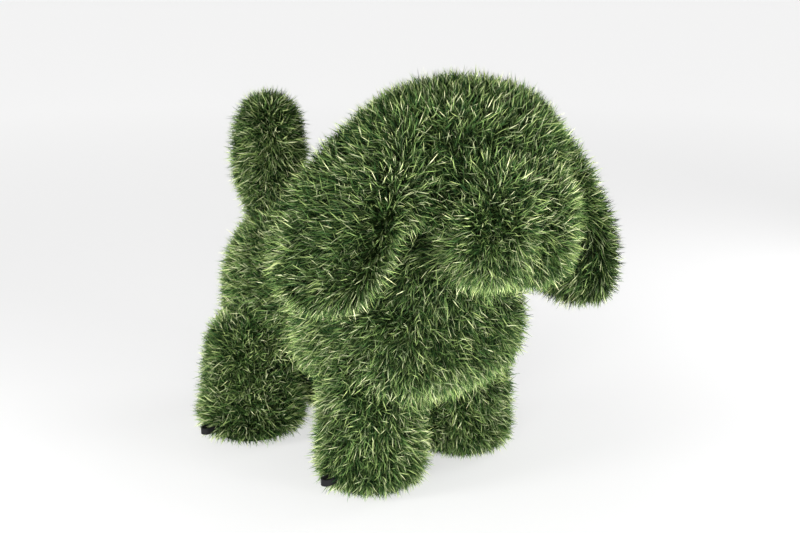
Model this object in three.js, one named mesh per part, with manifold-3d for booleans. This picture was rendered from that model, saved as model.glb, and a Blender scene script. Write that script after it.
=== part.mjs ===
// Dog garden statue: a stocky cartoon puppy covered all over in artificial turf. It stands on four
// round legs, and a flat steel loop for a ground peg stands out of each foot.
// The surface is where the tips of the turf end on average. Millimetres, +Z up, facing -Y.
// The statue is laid out about the plane X = 0 through the middle of its trunk. At the end all of
// it is moved so that the origin is on the ground under the middle of its box.

import * as THREE from 'three';
import { mergeVertices } from 'three/addons/utils/BufferGeometryUtils.js';
import Module from 'manifold-3d';

// Legs
const LEG_TRACK = 198;
const LEG_BASE = 277;
const FRONT_LEG_AT = -94;
const FRONT_LEG_RADIUS = 83;
const FRONT_LEG_HEIGHT = 236;
const FRONT_LEG_FLARE = 0.08;
const HIND_LEG_RADIUS = 81;
const HIND_LEG_HEIGHT = 214;
const HIND_LEG_FLARE = 0.2;
const FOOT_EDGE = 42;
const SOLE_SHARE = 0.68;
const LEG_TOP_EDGE = 58;

// Trunk
const BELLY_HEIGHT = 126;
const CHEST = { wide: 344, long: 296, high: 216, roundness: 3 };
const CHEST_BACK = 14;
const RUMP = { wide: 238, long: 284, high: 244, roundness: 2.6 };
const RUMP_TAPER = 0.15;
const RUMP_LIFT = 8;
const RUMP_INSET = 33;
const BARREL = { wide: 244, long: 410, high: 232, roundness: 2.6 };
const NECK_FORWARD = 38;
const NECK = { wide: 306, long: 256, roundness: 2.7 };

// Tail
const TAIL = { wide: 112, long: 120, high: 214, roundness: 2.6 };
const TAIL_RISE = 181;
const TAIL_BACK = 88;

// Head
const HEAD = { wide: 342, long: 276, high: 219, roundness: 2.3 };
const HEAD_RISE = 257;
const HEAD_FORWARD = 69;
const HEAD_NOD = 23;
const HEAD_TURN = -4;
const HEAD_TILT = 10.5;
const HEAD_PIVOT = 60;

// Muzzle with two jowls
const MUZZLE = { wide: 230, long: 164, high: 196, roundness: 2.5 };
const MUZZLE_FORWARD = 108;
const MUZZLE_DROP = 74;
const MUZZLE_NOD = 9;
const CLEFT_DEPTH = 0.16;
const CLEFT_WIDTH = 0.2;
const CLEFT_AIM = { forward: 0.8, down: 0.6 };

// Ears
const EAR = { thick: 74, wide: 190, long: 330, roundness: 2.4 };
const EAR_TAPER = 0.4;
const EAR_SWELL = 0.25;
const EAR_CURL = 18;
const EAR_OUT = 23;
const EAR_FORWARD = 20;
const EAR_DROP = 62;
const EAR_SPLAY = 25.5;
const EAR_SWING = 2;
const EAR_TURN = 5;

// Tufts of the turf: three crossed waves, each bent by another one of its own pitch
const TUFT_DEPTH = 3.2;
const TUFT_PITCH = 56;
const TUFT_PEAK = 1.7;
const TUFT_BEND = { x: 1.4, y: 1.1, z: 1.2 };
const TUFT_BEND_PITCH = { x: 0.6, y: 0.7, z: 0.8 };

// Peg loops
const STRIP_WIDTH = 10;
const STRIP_THICKNESS = 2;
const LOOP_WIDTH = 16;
const LOOP_REACH = 14;
const LOOP_ROOT = 24;
const LOOP_HEIGHT = 30;
const LOOP_CLEARANCE = 0.3;

// Facets round each form and from its top to its bottom
const FACETS = {
  chest: [30, 17],
  rump: [26, 17],
  barrel: [26, 15],
  neck: [20, 12],
  tail: [18, 16],
  head: [32, 20],
  muzzle: [26, 18],
  ear: [18, 18],
};
const LEG_SIDES = 24;
const LEG_STEPS = 4;
const BEND_STEPS = 8;

const turf = { color: 0x3f6b34, roughness: 0.85, metalness: 0 };
const blackSteel = { color: 0x17181a, roughness: 0.6, metalness: 0.2 };
const rad = THREE.MathUtils.degToRad;

const wasm = await Module();
wasm.setup();

// A closed geometry as a solid that can be joined and cut
function solid(geometry) {
  const bare = geometry.clone();
  bare.deleteAttribute('normal');
  bare.deleteAttribute('uv');
  const merged = mergeVertices(bare, 1e-3);
  return new wasm.Manifold(new wasm.Mesh({
    numProp: 3,
    vertProperties: new Float32Array(merged.attributes.position.array),
    triVerts: new Uint32Array(merged.index.array),
  }));
}

function geometryOf(body) {
  const mesh = body.getMesh();
  const geometry = new THREE.BufferGeometry();
  geometry.setAttribute('position', new THREE.Float32BufferAttribute(mesh.vertProperties, 3));
  geometry.setIndex(new THREE.Uint32BufferAttribute(mesh.triVerts, 1));
  geometry.computeVertexNormals();
  return geometry;
}

// Calls shape on each point of the geometry, which moves the point where it belongs
function deform(geometry, shape) {
  const at = geometry.attributes.position;
  const p = new THREE.Vector3();
  for (let i = 0; i < at.count; i++) {
    p.fromBufferAttribute(at, i);
    shape(p);
    at.setXYZ(i, p.x, p.y, p.z);
  }
  return geometry;
}

// Height of the tufts at a point
function tuft(p) {
  const k = 2 * Math.PI / TUFT_PITCH;
  const wave = (along, across) => Math.sin(
    k * p[along] + TUFT_BEND[along] * Math.sin(TUFT_BEND_PITCH[along] * k * p[across]),
  );
  const a = wave('x', 'z');
  const b = wave('y', 'x');
  const c = wave('z', 'y');
  return TUFT_DEPTH * (a * b + b * c + c * a) / TUFT_PEAK;
}

// A sphere of radius 1 pressed towards a cube, the more so the higher the roundness value
function pebble(roundness, [columns, rows]) {
  const sphere = new THREE.SphereGeometry(1, columns, rows);
  sphere.rotateX(Math.PI / 2);
  return deform(sphere, (p) => {
    const reach = Math.abs(p.x) ** roundness + Math.abs(p.y) ** roundness
      + Math.abs(p.z) ** roundness;
    p.multiplyScalar(reach ** (-1 / roundness));
  });
}

// Moves the points along their rays from the middle by the height of the tufts, then the middle
// to where it belongs
function placed(geometry, middle, turn = new THREE.Euler()) {
  const q = new THREE.Quaternion().setFromEuler(turn);
  return deform(geometry, (p) => {
    const ray = p.clone().normalize().applyQuaternion(q);
    p.applyQuaternion(q).add(middle);
    p.addScaledVector(ray, tuft(p));
  });
}

function roundBody(size, middle, facets, turn, taper = 0) {
  const form = deform(pebble(size.roundness, facets), (p) => {
    const girth = 1 - taper * p.z;
    p.multiply(new THREE.Vector3(girth * size.wide / 2, girth * size.long / 2, size.high / 2));
  });
  return placed(form, middle, turn);
}

// A round leg: a flat sole, a rounded foot, a shaft that narrows upwards and a domed top
function leg(x, y, radius, height, flare) {
  const outline = [new THREE.Vector2(0, 0)];
  const shaftRadius = (t) => radius * (1 + flare * (0.5 - t));
  for (let i = 0; i <= LEG_STEPS; i++) {
    const a = i / LEG_STEPS * Math.PI / 2;
    outline.push(new THREE.Vector2(
      shaftRadius(0) * (SOLE_SHARE + (1 - SOLE_SHARE) * Math.sin(a)),
      FOOT_EDGE * (1 - Math.cos(a)),
    ));
  }
  const top = height - LEG_TOP_EDGE;
  for (let i = 1; i <= LEG_STEPS; i++) {
    const t = i / LEG_STEPS;
    outline.push(new THREE.Vector2(shaftRadius(t), FOOT_EDGE + (top - FOOT_EDGE) * t));
  }
  for (let i = 1; i < LEG_STEPS; i++) {
    const a = i / LEG_STEPS * Math.PI / 2;
    outline.push(new THREE.Vector2(shaftRadius(1) * Math.cos(a), top + LEG_TOP_EDGE * Math.sin(a)));
  }
  outline.push(new THREE.Vector2(0, height));
  const form = new THREE.LatheGeometry(outline, LEG_SIDES);
  form.rotateX(Math.PI / 2);
  return deform(form, (p) => {
    const ray = new THREE.Vector3(p.x, p.y, 0);
    const share = Math.min(1, p.z / FOOT_EDGE);
    p.add(new THREE.Vector3(x, y, 0));
    if (ray.length() > 1) p.addScaledVector(ray.normalize(), tuft(p) * share);
  });
}

// The head is cocked to its left about a point in the neck, below the middle of the head
const headPivot = new THREE.Vector3(
  0, FRONT_LEG_AT - HEAD_FORWARD, BELLY_HEIGHT + CHEST.high / 2 + HEAD_RISE - HEAD_PIVOT,
);
const headPose = new THREE.Euler(0, rad(HEAD_TILT), rad(HEAD_TURN), 'ZYX');
function onHead(x, y, z) {
  return new THREE.Vector3(x, y, z + HEAD_PIVOT).applyEuler(headPose).add(headPivot);
}
function headTurned(x, y, z) {
  const own = new THREE.Quaternion().setFromEuler(new THREE.Euler(rad(x), rad(y), rad(z), 'ZYX'));
  const all = new THREE.Quaternion().setFromEuler(headPose).multiply(own);
  return new THREE.Euler().setFromQuaternion(all);
}

// The muzzle: one broad form with a cleft down its front between the two jowls
function muzzle() {
  const form = deform(pebble(MUZZLE.roundness, FACETS.muzzle), (p) => {
    const front = Math.max(0, -p.y * CLEFT_AIM.forward - p.z * CLEFT_AIM.down);
    const cleft = CLEFT_DEPTH * front * Math.exp(-((p.x / CLEFT_WIDTH) ** 2));
    p.multiplyScalar(1 - cleft);
    p.multiply(new THREE.Vector3(MUZZLE.wide / 2, MUZZLE.long / 2, MUZZLE.high / 2));
  });
  return placed(form, onHead(0, -MUZZLE_FORWARD, -MUZZLE_DROP), headTurned(-MUZZLE_NOD, 0, 0));
}

// A hanging ear: thin and narrow where it joins the head, broad and thick at its rounded end.
// side is 1 for the left ear and -1 for the right ear
function ear(side) {
  const form = deform(pebble(EAR.roundness, FACETS.ear), (p) => {
    const down = -p.z;
    p.x = p.x * EAR.thick / 2 * (1 + EAR_SWELL * down) + EAR_CURL * (1 - down * down);
    p.y *= EAR.wide / 2 * (1 + EAR_TAPER * down);
    p.z *= EAR.long / 2;
    p.x *= side;
  });
  if (side < 0) form.index.array.reverse();
  return placed(
    form,
    onHead(side * (HEAD.wide / 2 + EAR_OUT), -EAR_FORWARD, -EAR_DROP),
    headTurned(-EAR_SWING, -side * EAR_SPLAY, -side * EAR_TURN),
  );
}

// A flat strip on edge, bent to a U that is open towards the leg. The U lies along +X with the
// middle of its bend's outside at X = 0, and room is added all round for the slot that it sits in
function loopForm(length, room) {
  const outer = LOOP_WIDTH / 2 + room;
  const inner = LOOP_WIDTH / 2 - STRIP_THICKNESS - room;
  const bend = LOOP_WIDTH / 2;
  const shape = new THREE.Shape();
  shape.moveTo(length + room, -outer);
  shape.lineTo(length + room, -inner);
  shape.lineTo(bend, -inner);
  shape.absarc(bend, 0, inner, -Math.PI / 2, Math.PI / 2, true);
  shape.lineTo(length + room, inner);
  shape.lineTo(length + room, outer);
  shape.lineTo(bend, outer);
  shape.absarc(bend, 0, outer, Math.PI / 2, -Math.PI / 2, false);
  const form = new THREE.ExtrudeGeometry(shape, {
    depth: STRIP_WIDTH + 2 * room, bevelEnabled: false, curveSegments: BEND_STEPS,
  });
  form.translate(0, 0, LOOP_HEIGHT - STRIP_WIDTH / 2 - room);
  return form;
}

const legs = [
  ['front_right', -1, FRONT_LEG_AT, FRONT_LEG_RADIUS, FRONT_LEG_HEIGHT, FRONT_LEG_FLARE],
  ['front_left', 1, FRONT_LEG_AT, FRONT_LEG_RADIUS, FRONT_LEG_HEIGHT, FRONT_LEG_FLARE],
  ['hind_right', -1, FRONT_LEG_AT + LEG_BASE, HIND_LEG_RADIUS, HIND_LEG_HEIGHT, HIND_LEG_FLARE],
  ['hind_left', 1, FRONT_LEG_AT + LEG_BASE, HIND_LEG_RADIUS, HIND_LEG_HEIGHT, HIND_LEG_FLARE],
];

// Trunk, neck and tail, each set on the one before
const chestMiddle = new THREE.Vector3(0, FRONT_LEG_AT + CHEST_BACK, BELLY_HEIGHT + CHEST.high / 2);
const rumpMiddle = new THREE.Vector3(
  0, FRONT_LEG_AT + LEG_BASE - RUMP_INSET, BELLY_HEIGHT + RUMP_LIFT + RUMP.high / 2,
);
const barrelMiddle = new THREE.Vector3(
  0, (chestMiddle.y + rumpMiddle.y) / 2, BELLY_HEIGHT + BARREL.high / 2,
);
const headMiddle = onHead(0, 0, 0);
const neckMiddle = chestMiddle.clone().lerp(headMiddle, 0.5).setY(chestMiddle.y - NECK_FORWARD);
const neckSize = { ...NECK, high: headMiddle.z - chestMiddle.z };
const tailMiddle = rumpMiddle.clone().add(new THREE.Vector3(0, TAIL_BACK, TAIL_RISE));

const forms = [
  roundBody(CHEST, chestMiddle, FACETS.chest),
  roundBody(RUMP, rumpMiddle, FACETS.rump, new THREE.Euler(), RUMP_TAPER),
  roundBody(BARREL, barrelMiddle, FACETS.barrel),
  roundBody(neckSize, neckMiddle, FACETS.neck),
  roundBody(TAIL, tailMiddle, FACETS.tail),
  roundBody(HEAD, headMiddle, FACETS.head, headTurned(-HEAD_NOD, 0, 0)),
  muzzle(),
  ear(-1),
  ear(1),
  ...legs.map(([, side, y, radius, height, flare]) => (
    leg(side * LEG_TRACK / 2, y, radius, height, flare)
  )),
];
let figure = forms.map(solid).reduce((whole, form) => whole.add(form));

// Each loop stands straight out of the side of its leg, and its two ends sit in slots
function loopOn([, side, y, radius, , flare], room) {
  const form = loopForm(LOOP_REACH + LOOP_ROOT, room);
  if (side > 0) form.rotateZ(Math.PI);
  form.translate(side * (LEG_TRACK / 2 + radius * (1 + flare / 2) + LOOP_REACH), y, 0);
  return form;
}

const statue = new THREE.Group();
for (const one of legs) {
  figure = figure.subtract(solid(loopOn(one, LOOP_CLEARANCE)));
  const loop = new THREE.Mesh(loopOn(one, 0), new THREE.MeshStandardMaterial(blackSteel));
  loop.name = `peg_loop_${one[0]}`;
  statue.add(loop);
}
const dog = new THREE.Mesh(geometryOf(figure), new THREE.MeshStandardMaterial(turf));
dog.name = 'turf_dog';
statue.add(dog);

const box = new THREE.Box3().setFromObject(statue);
const middle = box.getCenter(new THREE.Vector3());
statue.position.set(-middle.x, -middle.y, 0);

const part = new THREE.Group();
part.add(statue);
export default part;
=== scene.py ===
import math
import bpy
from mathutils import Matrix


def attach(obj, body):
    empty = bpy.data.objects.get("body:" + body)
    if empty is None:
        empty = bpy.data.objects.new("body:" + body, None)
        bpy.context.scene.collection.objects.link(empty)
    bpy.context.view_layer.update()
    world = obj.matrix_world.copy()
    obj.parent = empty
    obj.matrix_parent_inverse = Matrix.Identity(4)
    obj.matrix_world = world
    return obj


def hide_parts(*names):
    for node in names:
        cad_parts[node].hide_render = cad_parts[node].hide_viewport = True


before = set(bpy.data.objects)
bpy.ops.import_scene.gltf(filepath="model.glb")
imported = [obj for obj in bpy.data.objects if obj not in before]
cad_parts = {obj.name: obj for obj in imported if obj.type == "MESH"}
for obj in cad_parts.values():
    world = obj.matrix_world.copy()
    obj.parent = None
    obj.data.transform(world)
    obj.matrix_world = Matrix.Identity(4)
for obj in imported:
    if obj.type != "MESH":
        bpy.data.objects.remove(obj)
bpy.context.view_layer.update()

from types import SimpleNamespace

import bpy
import numpy as np
from mathutils import Vector

# Dog garden statue in artificial turf: a dark backing, the blades of turf yarn that stand out of it,
# and the black steel loops that the ground pegs go through. Lengths are in metres

draws = np.random.default_rng(7)

# Camera, fitted to the outline and the feet of the statue
LENS = 60.75
SENSOR = 36
CAMERA_AZIMUTH = -46
CAMERA_ELEVATION = 16
CAMERA_DISTANCE = 2.0756
CAMERA_TARGET = (0.0408, -0.0088, 0.2998)
CAMERA_REACH = 200

# Lights: name, azimuth and elevation in degrees, size, and power in watts
LIGHT_TARGET = (0.02, -0.08, 0.28)
LIGHT_DISTANCE = 1.6
LIGHTS = [
    ("left_light", -108, 6, 0.6, 20),
    ("near_light", -55, 4, 0.8, 20),
    ("front_light", 6, -4, 0.5, 25),
    ("right_light", 72, 20, 0.8, 9),
]

# Skin and backing. The skin is where the tips of the pile end on average: the figure's own form,
# with its creases filled as the pile fills them. The backing lies under it by the depth of the pile
PILE_DEPTH = 0.02
WELD = 1e-5
COARSE_VOXEL = 0.008
FINE_VOXEL = 0.006
CREASE_FILL = 0.014
FIGURE_SMOOTHING = 6
CREASE_SMOOTHING = 4
BACKING_SMOOTHING = 10

# The backing of each foot is stretched down to the ground: all that is under FOOT_TOP goes down in
# proportion, so that what is at SOLE_AT comes to SOLE_HEIGHT
FOOT_TOP = 0.045
SOLE_AT = 0.022
SOLE_HEIGHT = 0.004

# Padding between each ear and its cheek, which the turf runs over: middle and long way
CHEEK_PADS = [
    ((-0.142, -0.193, 0.484), (-0.35, -0.25, -0.90)),
    ((0.164, -0.215, 0.427), (-0.03, -0.27, -0.96)),
]
CHEEK_PAD_SIZE = (0.038, 0.038, 0.068)

# Tufts. They stand at least TUFT_PACKING of an even spacing apart, and none grows under a sole
TUFTS_SOUGHT = 41000
SAMPLES_PER_TUFT = 6
TUFT_PACKING = 0.76
TUFT_RADIUS = 0.0045
BLADES_PER_TUFT = 12
SOLE_FACING = -0.8
SOLE_REACH = 0.02

# Blades. A blade is widest at its knee, and its bend is how far its tip comes forwards. Over the
# pile, waves make the blades longer and shorter by LENGTH_SWEEP
BLADE_LENGTH = (0.022, 0.038)
LENGTH_SWEEP = 0.1
BLADE_WIDTH = (0.0010, 0.0016)
BLADE_BENDS = (0.02, 0.07, 0.13, 0.2)
KNEE = 0.6
ROOT_DEPTH = 0.001
GROUND_GAP = 0.0006

# Waves over the pile: longest, shortest and how many
CLUMP_WAVES = (0.075, 0.03, 14)
BROAD_WAVES = (0.25, 0.12, 8)
LENGTH_WAVES = (0.1, 0.05, 8)
TINT_WAVES = (0.2, 0.06, 10)

# How far clumps, broad sweeps, single tufts and single blades lean away from the grain, and the
# least and most of its share that a blade takes
CLUMP_LEAN = 0.22
BROAD_LEAN = 0.08
TUFT_LEAN = 0.42
BLADE_LEAN = 1.3
BLADE_STRAY = (0.5, 1.7)

# What a blade bends towards, beside the lean of its tuft: the way that it strays, and down
BEND_OUTWARDS = 0.5
BEND_DOWNWARDS = 0.5

# Tint of a blade, from 0, dark, to 1, pale: its middle, and how far it varies
TINT_MIDDLE = 0.47
TINT_SWEEP = 0.08
TINT_OF_TUFT = 0.1
TINT_OF_BLADE = 0.37
TINT_RANGE = (0.01, 0.98)
TINT_WIDTH = 1 / 128

# Painted shade and light of a point of a blade, from 0, at the root, to 1, at the tip: painted shade
# deep in the pile, where shade falls between the blades, and painted light at the tips, as if light
# shone through them. It goes by its height over the backing, in pile depths, and a little by how far
# along the blade it is
PAINTED_SHADE_AT_ROOT = 0.02
PAINTED_SHADE_BY_HEIGHT = 0.7
PAINTED_SHADE_ALONG = 0.05
PAINTED_SHADE_RANGE = (0.02, 0.98)

# Regions of the pile: name, middle and half sizes of the form that it grows on, and the grain of
# the cloth there, which is the way that its blades lean, and how much
UP, DOWN, BACK_DOWN = (0, 0, 1), (0, 0, -1), (0, 0.4, -0.92)
REGIONS = {
    "head": ((0.022, -0.132, 0.49), (0.17, 0.14, 0.116), UP, 0.5),
    "muzzle": ((0.045, -0.24, 0.42), (0.115, 0.085, 0.095), DOWN, 0.0),
    "right_ear": ((-0.19, -0.16, 0.46), (0.06, 0.09, 0.16), BACK_DOWN, 0.9),
    "left_ear": ((0.20, -0.16, 0.40), (0.06, 0.09, 0.16), BACK_DOWN, 0.9),
    "chest": ((0.017, -0.05, 0.25), (0.17, 0.15, 0.13), DOWN, 0.75),
    "rump": ((0.017, 0.15, 0.26), (0.13, 0.18, 0.12), UP, 0.3),
    "tail": ((0.017, 0.266, 0.44), (0.053, 0.058, 0.106), DOWN, 0.65),
    "right_front_leg": ((-0.082, -0.066, 0.09), (0.083, 0.083, 0.11), DOWN, 0.95),
    "left_front_leg": ((0.116, -0.066, 0.09), (0.083, 0.083, 0.11), DOWN, 0.8),
    "right_hind_leg": ((-0.082, 0.211, 0.09), (0.085, 0.085, 0.11), UP, 0.85),
    "left_hind_leg": ((0.116, 0.211, 0.09), (0.085, 0.085, 0.11), UP, 0.85),
}
GRAIN_BLEND = 5

# Whorls, from which the blades lean away all round: middle, reach and strength
WHORLS = [
    ((-0.103, -0.269, 0.423), 0.1, 0.9),
    ((0.145, -0.262, 0.390), 0.1, 0.9),
    ((0.015, -0.316, 0.441), 0.05, 0.6),
]

# Places where the pile is brushed one way: middle, reach, way and strength
BRUSHED = [
    ((-0.150, -0.086, 0.276), 0.075, (-0.3, 0.5, 0.6), 1.2),
    ((0.185, -0.086, 0.276), 0.075, (0.3, 0.5, 0.6), 1.2),
]

# Colours, as linear values. The yarn's tint is multiplied by its painted shade and light, and spots
# are counted across a metre
# Yarn tints from dark green to pale straw. The palest end is partly real pale yarn and partly painted
# glints, which stand in for highlights on a few blades
YARN_TINTS_AND_PAINTED_GLINTS = [
    (0.0, (0.010, 0.040, 0.012)),
    (0.3, (0.080, 0.170, 0.050)),
    (0.55, (0.230, 0.350, 0.115)),
    (0.8, (0.430, 0.540, 0.210)),
    (1.0, (0.720, 0.770, 0.490)),
]
# Painted shade and light along a blade: near black deep in the pile, where shade falls, and brighter
# than the yarn itself at the tips, for light that shines through them
YARN_PAINTED_SHADE_AND_LIGHT = [
    (0.0, (0.006, 0.010, 0.004)),
    (0.32, (0.024, 0.038, 0.016)),
    (0.55, (0.33, 0.39, 0.31)),
    (0.75, (1.0, 1.0, 0.95)),
    (1.0, (1.65, 1.55, 1.38)),
]
CLOTH_COLOURS = ((0.006, 0.014, 0.005), (0.016, 0.034, 0.012))
CLOTH_SPOTS = 180
PAINT_COLOURS = ((0.003, 0.003, 0.0035), (0.008, 0.008, 0.009))
PAINT_SPOTS = 350

# The noise that gives a mottled surface its dark colour, and the one that gives its light colour
MOTTLE_RANGE = (0.3, 0.7)

# The sky's grey by height, from 0, level, to 1, overhead
SKY_GREYS = [(0.0, 0.9), (0.2, 0.8), (0.4, 0.28), (1.0, 0.28)]

# Painted shade on the floor: it is painted darker under the statue and brighter far away, for how the
# light falls across it
FLOOR_SIZE = 60
FLOOR_PAINTED_SHADE_REACH = (0.4, 3.5)
FLOOR_PAINTED_SHADE_GREYS = (0.46, 1)
# Painted light: the floor glows, which softens its shadows and lights the statue from below
FLOOR_PAINTED_GLOW = 0.56


def link(obj):
    bpy.context.scene.collection.objects.link(obj)
    return obj


def select_only(obj):
    bpy.ops.object.select_all(action="DESELECT")
    obj.select_set(True)
    bpy.context.view_layer.objects.active = obj


def apply_modifier(obj, kind, **settings):
    select_only(obj)
    modifier = obj.modifiers.new(kind.title(), kind)
    for name, value in settings.items():
        setattr(modifier, name, value)
    bpy.ops.object.modifier_apply(modifier=modifier.name)


def points_of(mesh):
    at = np.zeros(len(mesh.vertices) * 3, np.float32)
    mesh.vertices.foreach_get("co", at)
    return at.reshape(-1, 3).astype(float)


def normals_of(mesh):
    normals = np.zeros(len(mesh.vertices) * 3, np.float32)
    mesh.vertices.foreach_get("normal", normals)
    return normals.reshape(-1, 3).astype(float)


def triangles_of(mesh):
    mesh.calc_loop_triangles()
    triangles = np.zeros(len(mesh.loop_triangles) * 3, np.int32)
    mesh.loop_triangles.foreach_get("vertices", triangles)
    return triangles.reshape(-1, 3)


def unit(v):
    return v / np.maximum(np.linalg.norm(v, axis=-1, keepdims=True), 1e-9)


def along_surface(v, normal):
    """The part of each vector that lies along the surface."""
    return v - (v * normal).sum(1)[:, None] * normal


def waves(at, longest, shortest, count):
    """Smooth noise: a vector at each point, from waves that run in many directions."""
    out = np.zeros_like(at)
    for _ in range(count):
        length = draws.uniform(shortest, longest)
        along = unit(draws.normal(size=3)) * 2 * math.pi / length
        out += np.sin(at @ along + draws.uniform(0, 2 * math.pi))[:, None] * draws.normal(size=3)
    return out / math.sqrt(count)


def way_to(azimuth, elevation):
    """The way from the statue to a place seen at these angles, in degrees from its front."""
    turn, rise = math.radians(azimuth), math.radians(elevation)
    return Vector((math.sin(turn) * math.cos(rise), -math.cos(turn) * math.cos(rise), math.sin(rise)))


# Skin and backing


def pad_cheek(skin, middle, way):
    """Joins an egg-shaped pad to the skin. The remesh that follows makes them one."""
    bpy.ops.object.select_all(action="DESELECT")
    turn = Vector(way).to_track_quat("Z", "Y").to_euler()
    bpy.ops.mesh.primitive_uv_sphere_add(
        radius=1, location=middle, rotation=turn, scale=CHEEK_PAD_SIZE
    )
    skin.select_set(True)
    bpy.context.view_layer.objects.active = skin
    bpy.ops.object.join()


def make_skin():
    skin = link(bpy.data.objects.new("turf_skin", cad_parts["turf_dog"].data.copy()))
    select_only(skin)
    bpy.ops.object.mode_set(mode="EDIT")
    bpy.ops.mesh.select_all(action="SELECT")
    bpy.ops.mesh.remove_doubles(threshold=WELD)
    bpy.ops.object.mode_set(mode="OBJECT")
    for middle, way in CHEEK_PADS:
        pad_cheek(skin, middle, way)
    apply_modifier(skin, "REMESH", mode="VOXEL", voxel_size=COARSE_VOXEL)
    apply_modifier(skin, "SMOOTH", iterations=FIGURE_SMOOTHING)
    apply_modifier(skin, "DISPLACE", strength=CREASE_FILL, mid_level=0)
    apply_modifier(skin, "REMESH", mode="VOXEL", voxel_size=COARSE_VOXEL)
    apply_modifier(skin, "SMOOTH", iterations=CREASE_SMOOTHING)
    apply_modifier(skin, "DISPLACE", strength=-CREASE_FILL, mid_level=0)
    return skin


def make_backing(skin):
    backing = link(bpy.data.objects.new("turf_backing", skin.data.copy()))
    apply_modifier(backing, "DISPLACE", strength=-PILE_DEPTH, mid_level=0)
    apply_modifier(backing, "REMESH", mode="VOXEL", voxel_size=FINE_VOXEL)
    apply_modifier(backing, "SMOOTH", iterations=BACKING_SMOOTHING)
    at = points_of(backing.data)
    low = at[:, 2] < FOOT_TOP
    stretch = FOOT_TOP - SOLE_HEIGHT
    at[low, 2] = SOLE_HEIGHT + (at[low, 2] - SOLE_AT) * stretch / (FOOT_TOP - SOLE_AT)
    at[:, 2] = np.maximum(at[:, 2], SOLE_HEIGHT)
    backing.data.vertices.foreach_set("co", at.astype(np.float32).ravel())
    backing.data.update()
    select_only(backing)
    bpy.ops.object.shade_smooth()
    backing.data.materials.clear()
    return backing


# Tufts


def surface_samples(mesh, count):
    """Random places on the surface and its normals there, and the whole area."""
    triangles = triangles_of(mesh)
    at = points_of(mesh)
    normals = normals_of(mesh)
    a, b, c = (at[triangles[:, i]] for i in range(3))
    area = np.linalg.norm(np.cross(b - a, c - a), axis=1) / 2
    pick = draws.choice(len(triangles), size=count, p=area / area.sum())
    r = np.sqrt(draws.random(count))
    s = draws.random(count)
    weights = np.stack([1 - r, r * (1 - s), r * s], axis=1)
    where = np.einsum("ij,ijk->ik", weights, at[triangles[pick]])
    normal = unit(np.einsum("ij,ijk->ik", weights, normals[triangles[pick]]))
    return where, normal, area.sum()


def spread_out(where, spacing):
    """Keeps the points that are at least spacing from every point kept before."""
    cells = {}
    keys = np.floor(where / spacing).astype(int)
    kept = []
    near = [(i, j, k) for i in (-1, 0, 1) for j in (-1, 0, 1) for k in (-1, 0, 1)]
    limit = spacing * spacing
    rows = where.tolist()
    for row, (x, y, z) in enumerate(keys.tolist()):
        px, py, pz = rows[row]
        clear = True
        for i, j, k in near:
            for qx, qy, qz in cells.get((x + i, y + j, z + k), ()):
                if (qx - px) ** 2 + (qy - py) ** 2 + (qz - pz) ** 2 < limit:
                    clear = False
                    break
            if not clear:
                break
        if clear:
            cells.setdefault((x, y, z), []).append((px, py, pz))
            kept.append(row)
    return np.array(kept)


def place_tufts(skin):
    where, normal, area = surface_samples(skin.data, TUFTS_SOUGHT * SAMPLES_PER_TUFT)
    kept = spread_out(where, TUFT_PACKING * math.sqrt(area / TUFTS_SOUGHT))
    where, normal = where[kept], normal[kept]
    bare = (normal[:, 2] < SOLE_FACING) & (where[:, 2] < SOLE_REACH)
    return where[~bare], normal[~bare]


def distances(at):
    """How far each point is from each region's middle, in half sizes of that region."""
    return np.stack([
        np.linalg.norm((at - np.array(middle)) / np.array(half), axis=1)
        for middle, half, _, _ in REGIONS.values()
    ])


def grain_at(at, normal):
    """The way that the cloth's grain, the whorls and the brushed places lay the pile."""
    share = distances(at)
    share = np.exp(GRAIN_BLEND * (share.min(0) - share))
    share /= share.sum(0)
    grain = sum(
        (share[i] * strength)[:, None] * np.array(way)
        for i, (_, _, way, strength) in enumerate(REGIONS.values())
    )
    for middle, reach, strength in WHORLS:
        away = at - np.array(middle)
        far = np.linalg.norm(away, axis=1, keepdims=True) / reach
        grain += strength * unit(along_surface(away, normal)) * far * np.exp(1 - far)
    for middle, reach, way, strength in BRUSHED:
        far = np.linalg.norm(at - np.array(middle), axis=1, keepdims=True) / reach
        grain += strength * np.exp(-far * far) * np.array(way)
    return along_surface(grain, normal)


def lean_at(at, normal):
    """How each tuft leans: with the grain, with its clump, in broad sweeps and by itself."""
    grain = grain_at(at, normal)
    clump = waves(at, *CLUMP_WAVES)
    broad = waves(at, *BROAD_WAVES)
    stray = CLUMP_LEAN * clump + BROAD_LEAN * broad + TUFT_LEAN * draws.normal(size=at.shape)
    return grain + along_surface(stray, normal)


# Blades


def select_end(blade, end):
    """Selects the edge at the root, end 0, or the one at the knee, end 1, and opens edit mode."""
    for vertex in blade.data.vertices:
        vertex.select = abs(vertex.co.y - end * KNEE) < KNEE / 2
    for edge in blade.data.edges:
        edge.select = all(blade.data.vertices[v].select for v in edge.vertices)
    for face in blade.data.polygons:
        face.select = False
    bpy.ops.object.mode_set(mode="EDIT")
    bpy.ops.mesh.select_mode(type="EDGE")


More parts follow.
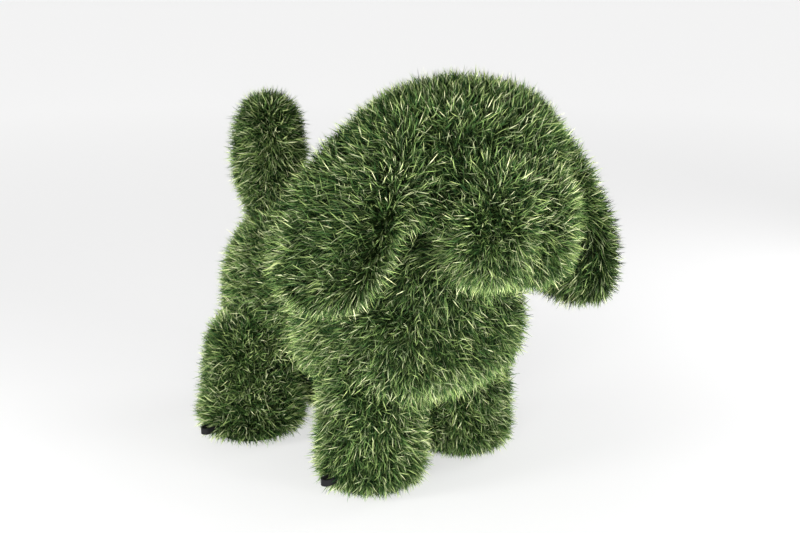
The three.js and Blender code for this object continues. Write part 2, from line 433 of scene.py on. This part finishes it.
def make_blade(bend):
    """The points and faces of a blade 1 wide and 1 long, that points along Y and bends up."""
    bpy.ops.object.select_all(action="DESELECT")
    bpy.ops.mesh.primitive_plane_add(size=1, location=(0, 0, 0))
    blade = bpy.context.object
    bpy.ops.object.mode_set(mode="EDIT")
    bpy.ops.mesh.select_all(action="SELECT")
    bpy.ops.transform.resize(value=(1, KNEE, 1))
    bpy.ops.transform.translate(value=(0, KNEE / 2, 0))
    bpy.ops.object.mode_set(mode="OBJECT")
    select_end(blade, 1)
    bpy.ops.transform.translate(value=(0, 0, bend * KNEE**2))
    bpy.ops.mesh.extrude_region_move(
        TRANSFORM_OT_translate={"value": (0, 1 - KNEE, bend * (1 - KNEE**2))}
    )
    bpy.ops.mesh.merge(type="CENTER")
    bpy.ops.object.mode_set(mode="OBJECT")
    select_end(blade, 0)
    bpy.ops.mesh.merge(type="CENTER")
    bpy.ops.object.mode_set(mode="OBJECT")
    at = points_of(blade.data)
    faces = [list(face.vertices) for face in blade.data.polygons]
    bpy.data.objects.remove(blade)
    return at, faces


def for_blades(v):
    """Gives each blade its tuft's value."""
    return np.repeat(v, BLADES_PER_TUFT, axis=0)


def grow_blades(tuft_at, tuft_normal):
    """Every blade's root, axes, length, width, tint and pattern, one row a blade."""
    lean = for_blades(lean_at(tuft_at, tuft_normal))
    normal = for_blades(tuft_normal)
    count = len(normal)
    stray = draws.normal(size=(count, 3)) * draws.uniform(*BLADE_STRAY, (count, 1))
    stray = along_surface(stray, normal)
    direction = unit(normal + lean + BLADE_LEAN * stray)
    aside = unit(stray) * TUFT_RADIUS * draws.random((count, 1))
    root = for_blades(tuft_at) + aside - normal * (PILE_DEPTH + ROOT_DEPTH)
    side = unit(np.cross(direction, draws.normal(size=(count, 3))))
    front = np.cross(side, direction)
    toward = lean + BEND_OUTWARDS * stray + BEND_DOWNWARDS * np.array(DOWN)
    swap = (front * toward).sum(1) < 0
    front[swap] *= -1
    side[swap] *= -1
    length = draws.uniform(*BLADE_LENGTH, count)
    length *= 1 + LENGTH_SWEEP * for_blades(waves(tuft_at, *LENGTH_WAVES)[:, 0])
    width = draws.uniform(*BLADE_WIDTH, count)
    tint = TINT_MIDDLE + TINT_SWEEP * for_blades(waves(tuft_at, *TINT_WAVES)[:, 0])
    tint += TINT_OF_TUFT * for_blades(draws.normal(size=len(tuft_at)))
    tint += TINT_OF_BLADE * draws.normal(size=count)
    return SimpleNamespace(
        root=root, normal=normal, direction=direction, side=side, front=front,
        length=length, width=width, tint=np.clip(tint, *TINT_RANGE),
        pattern=draws.integers(0, len(BLADE_BENDS), count),
        region=for_blades(distances(tuft_at).argmin(0)),
    )


def blade_mesh(name, blades, patterns, chosen):
    """One mesh of the chosen blades, each a copy of its pattern, with its tint and its painted shade
    and light as UV.
    """
    points, corners, sizes, tints_and_glints, painted_shade_and_light = [], [], [], [], []
    start = 0
    for index, (at, faces) in enumerate(patterns):
        rows = chosen[blades.pattern[chosen] == index]
        root = blades.root[rows, None]
        length = blades.length[rows, None]
        across, along, forwards = at[None, :, 0], at[None, :, 1], at[None, :, 2]
        place = (
            root
            + blades.side[rows, None] * (blades.width[rows, None] * across)[..., None]
            + blades.direction[rows, None] * (length * along)[..., None]
            + blades.front[rows, None] * (length * forwards)[..., None]
        )
        points.append(place.reshape(-1, 3))
        pattern_corners = np.array([v for face in faces for v in face])
        first = start + len(at) * np.arange(len(rows))
        corners.append((first[:, None] + pattern_corners).ravel())
        sizes.append(np.tile([len(face) for face in faces], len(rows)))
        tint = blades.tint[rows, None] + across * TINT_WIDTH
        tints_and_glints.append(tint[:, pattern_corners].ravel())
        # Painted shade: the deeper a point lies in the pile, the darker it is painted, and the tips
        # are painted lit
        rise = ((place - root) * blades.normal[rows, None]).sum(2) / PILE_DEPTH
        painted_shade_value = np.clip(PAINTED_SHADE_AT_ROOT + PAINTED_SHADE_BY_HEIGHT * rise + PAINTED_SHADE_ALONG * along, *PAINTED_SHADE_RANGE)
        painted_shade_and_light.append(painted_shade_value[:, pattern_corners].ravel())
        start += len(rows) * len(at)
    points = np.concatenate(points)
    points[:, 2] = np.maximum(points[:, 2], GROUND_GAP)
    corners, sizes = np.concatenate(corners), np.concatenate(sizes)
    mesh = bpy.data.meshes.new(name)
    mesh.vertices.add(len(points))
    mesh.vertices.foreach_set("co", points.astype(np.float32).ravel())
    mesh.loops.add(len(corners))
    mesh.loops.foreach_set("vertex_index", corners.astype(np.int32))
    mesh.polygons.add(len(sizes))
    mesh.polygons.foreach_set("loop_start", (np.cumsum(sizes) - sizes).astype(np.int32))
    mesh.update(calc_edges=True)
    mesh.polygons.foreach_set("use_smooth", np.ones(len(sizes), bool))
    uv = np.stack([np.concatenate(tints_and_glints), np.concatenate(painted_shade_and_light)], axis=1)
    mesh.uv_layers.new(name="OFBake").data.foreach_set("uv", uv.astype(np.float32).ravel())
    mesh.update()
    return link(bpy.data.objects.new(name, mesh))


# Finishes


def new_material(name, roughness, specular):
    material = bpy.data.materials.new(name)
    material.use_nodes = True
    tree = material.node_tree
    principled = tree.nodes["Principled BSDF"]
    principled.inputs["Roughness"].default_value = roughness
    principled.inputs["Specular IOR Level"].default_value = specular
    return material, tree, principled


def ramp(tree, stops):
    node = tree.nodes.new("ShaderNodeValToRGB")
    elements = node.color_ramp.elements
    elements[0].position, elements[0].color = stops[0][0], (*stops[0][1], 1)
    elements[1].position, elements[1].color = stops[-1][0], (*stops[-1][1], 1)
    for place, colour in stops[1:-1]:
        elements.new(place).color = (*colour, 1)
    return node


def colour_mix(tree, blend):
    """A node that mixes two colours, as its sockets: amount, first and second colour, and result."""
    mix = tree.nodes.new("ShaderNodeMix")
    mix.data_type = "RGBA"
    mix.blend_type = blend
    first, second = (socket for socket in mix.inputs if socket.type == "RGBA")
    result = next(socket for socket in mix.outputs if socket.type == "RGBA")
    return mix.inputs["Factor"], first, second, result


def make_mottle():
    """A node group that mottles a surface between two colours."""
    group = bpy.data.node_groups.new("mottle", "ShaderNodeTree")
    group.interface.new_socket("Place", in_out="INPUT", socket_type="NodeSocketVector")
    group.interface.new_socket("Spots", in_out="INPUT", socket_type="NodeSocketFloat")
    group.interface.new_socket("Dark", in_out="INPUT", socket_type="NodeSocketColor")
    group.interface.new_socket("Light", in_out="INPUT", socket_type="NodeSocketColor")
    group.interface.new_socket("Color", in_out="OUTPUT", socket_type="NodeSocketColor")
    given = group.nodes.new("NodeGroupInput")
    result = group.nodes.new("NodeGroupOutput")
    noise = group.nodes.new("ShaderNodeTexNoise")
    group.links.new(given.outputs["Place"], noise.inputs["Vector"])
    group.links.new(given.outputs["Spots"], noise.inputs["Scale"])
    spread = group.nodes.new("ShaderNodeMapRange")
    spread.inputs["From Min"].default_value = MOTTLE_RANGE[0]
    spread.inputs["From Max"].default_value = MOTTLE_RANGE[1]
    group.links.new(noise.outputs["Fac"], spread.inputs["Value"])
    amount, first, second, mixed = colour_mix(group, "MIX")
    group.links.new(spread.outputs["Result"], amount)
    group.links.new(given.outputs["Dark"], first)
    group.links.new(given.outputs["Light"], second)
    group.links.new(mixed, result.inputs["Color"])
    return group


def mottled_finish(name, spots, colours, roughness, specular):
    material, tree, principled = new_material(name, roughness, specular)
    where = tree.nodes.new("ShaderNodeTexCoord")
    node = tree.nodes.new("ShaderNodeGroup")
    node.node_tree = mottle
    node.inputs["Spots"].default_value = spots
    node.inputs["Dark"].default_value = (*colours[0], 1)
    node.inputs["Light"].default_value = (*colours[1], 1)
    tree.links.new(where.outputs["Object"], node.inputs["Place"])
    tree.links.new(node.outputs["Color"], principled.inputs["Base Color"])
    return material


def yarn_finish():
    material, tree, principled = new_material("turf_yarn", roughness=0.5, specular=0.07)
    uv = tree.nodes.new("ShaderNodeUVMap")
    uv.uv_map = "OFBake"
    split = tree.nodes.new("ShaderNodeSeparateXYZ")
    # Yarn tint, whose palest end is partly painted glint
    tints_and_glints = ramp(tree, YARN_TINTS_AND_PAINTED_GLINTS)
    # Painted shade and light along each blade, multiplied into the yarn's tint
    painted_shade_and_light = ramp(tree, YARN_PAINTED_SHADE_AND_LIGHT)
    amount, first, second, mixed = colour_mix(tree, "MULTIPLY")
    amount.default_value = 1
    tree.links.new(uv.outputs["UV"], split.inputs["Vector"])
    tree.links.new(split.outputs["X"], tints_and_glints.inputs["Fac"])
    tree.links.new(split.outputs["Y"], painted_shade_and_light.inputs["Fac"])
    tree.links.new(tints_and_glints.outputs["Color"], first)
    tree.links.new(painted_shade_and_light.outputs["Color"], second)
    tree.links.new(mixed, principled.inputs["Base Color"])
    return material


# The turf


def cover(piece, material):
    """Finishes a piece of the turf, which stands for the solid figure."""
    piece.data.materials.append(material)
    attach(piece, "root")
    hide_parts("turf_dog")


mottle = make_mottle()
skin = make_skin()
backing = make_backing(skin)
blades = grow_blades(*place_tufts(skin))
bpy.data.objects.remove(skin)
patterns = [make_blade(bend) for bend in BLADE_BENDS]
cloth = mottled_finish("turf_backing_cloth", CLOTH_SPOTS, CLOTH_COLOURS, roughness=0.9, specular=0.05)
cover(backing, cloth)
yarn = yarn_finish()
for index, name in enumerate(REGIONS):
    chosen = np.nonzero(blades.region == index)[0]
    cover(blade_mesh("turf_" + name, blades, patterns, chosen), yarn)

# Peg loops
paint = mottled_finish("black_paint", PAINT_SPOTS, PAINT_COLOURS, roughness=0.6, specular=0.2)
for name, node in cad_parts.items():
    if name != "turf_dog":
        node.data.materials.clear()
        node.data.materials.append(paint)

# Floor, sky, lights and camera


def lay_floor():
    bpy.ops.object.select_all(action="DESELECT")
    bpy.ops.mesh.primitive_plane_add(size=FLOOR_SIZE, location=(0, 0, 0))
    floor = bpy.context.object
    floor.name = "floor"
    material, tree, principled = new_material("pale_floor", roughness=0.9, specular=0.1)
    where = tree.nodes.new("ShaderNodeTexCoord")
    reach = tree.nodes.new("ShaderNodeVectorMath")
    reach.operation = "LENGTH"
    # Painted shade: the floor's colour grows paler with distance from the statue
    spread = tree.nodes.new("ShaderNodeMapRange")
    spread.inputs["From Min"].default_value = FLOOR_PAINTED_SHADE_REACH[0]
    spread.inputs["From Max"].default_value = FLOOR_PAINTED_SHADE_REACH[1]
    spread.inputs["To Min"].default_value = FLOOR_PAINTED_SHADE_GREYS[0]
    spread.inputs["To Max"].default_value = FLOOR_PAINTED_SHADE_GREYS[1]
    tree.links.new(where.outputs["Object"], reach.inputs[0])
    tree.links.new(reach.outputs["Value"], spread.inputs["Value"])
    tree.links.new(spread.outputs["Result"], principled.inputs["Base Color"])
    # Painted light: the floor glows evenly, whatever light falls on it
    principled.inputs["Emission Color"].default_value = (1, 1, 1, 1)
    principled.inputs["Emission Strength"].default_value = FLOOR_PAINTED_GLOW
    floor.data.materials.append(material)
    return floor


def studio_sky():
    world = bpy.data.worlds.new("studio")
    world.use_nodes = True
    sky = world.node_tree
    toward = sky.nodes.new("ShaderNodeTexCoord")
    split = sky.nodes.new("ShaderNodeSeparateXYZ")
    dome = ramp(sky, [(height, (grey, grey, grey)) for height, grey in SKY_GREYS])
    background = sky.nodes["Background"]
    sky.links.new(toward.outputs["Generated"], split.inputs["Vector"])
    sky.links.new(split.outputs["Z"], dome.inputs["Fac"])
    sky.links.new(dome.outputs["Color"], background.inputs["Color"])
    background.inputs["Strength"].default_value = 1
    return world


def soft_light(name, azimuth, elevation, size, power):
    data = bpy.data.lights.new(name, "AREA")
    data.shape = "DISK"
    data.size = size
    data.energy = power
    light = link(bpy.data.objects.new(name, data))
    way = way_to(azimuth, elevation)
    light.location = Vector(LIGHT_TARGET) + way * LIGHT_DISTANCE
    light.rotation_euler = (-way).to_track_quat("-Z", "Y").to_euler()
    light.visible_camera = False


def photo_camera():
    data = bpy.data.cameras.new("photo_view")
    data.sensor_width = SENSOR
    data.lens = LENS
    data.clip_end = CAMERA_REACH
    camera = link(bpy.data.objects.new("photo_view", data))
    way = way_to(CAMERA_AZIMUTH, CAMERA_ELEVATION)
    camera.location = Vector(CAMERA_TARGET) + way * CAMERA_DISTANCE
    camera.rotation_euler = (-way).to_track_quat("-Z", "Y").to_euler()
    return camera


scene = bpy.context.scene
lay_floor()
scene.view_settings.view_transform = "Standard"
scene.world = studio_sky()
for light in LIGHTS:
    soft_light(*light)
scene.camera = photo_camera()
